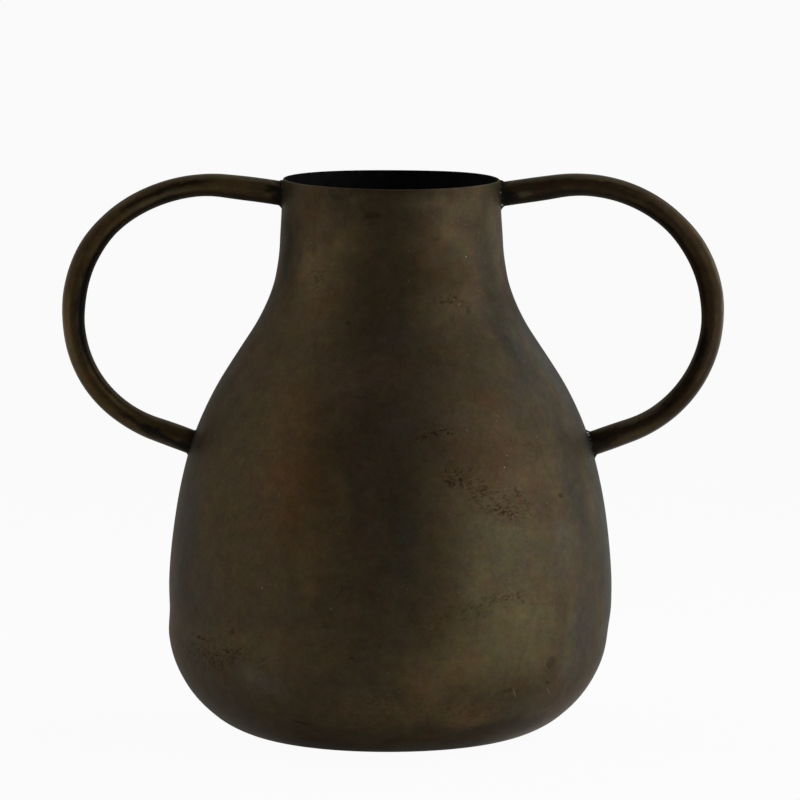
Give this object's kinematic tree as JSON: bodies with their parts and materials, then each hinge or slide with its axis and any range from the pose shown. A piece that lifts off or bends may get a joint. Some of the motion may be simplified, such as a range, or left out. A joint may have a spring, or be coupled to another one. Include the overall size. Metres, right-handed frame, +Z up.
{
  "type": "urn vase",
  "caption": "Wide-bellied metal vase with a narrow open neck and a bent tube loop handle on each side, in a dark antique-brass finish; stands on its base and holds stems.",
  "frame": {"origin": "centre of the base, on the floor", "axes": "+Z up along the vase's axis, +X through the right handle, +Y away from the viewer of the picture"},
  "size_m": [0.3268, 0.2182, 0.2795],
  "materials": {
    "shell": "dark antique brass patina, satin, mottled and pitted",
    "handle": "dark antique brass patina, rubbed lighter along the outside of the bends",
    "weld": "dark oxidised weld, rough, with worn bright toes"
  },
  "bodies": {
    "root": {"base_dish": "shell", "body_shell": "shell", "girth_weld": "shell", "left_handle": "handle", "right_handle": "handle", "left_neck_weld": "weld", "left_belly_weld": "weld", "right_neck_weld": "weld", "right_belly_weld": "weld"}
  },
  "joints": []
}
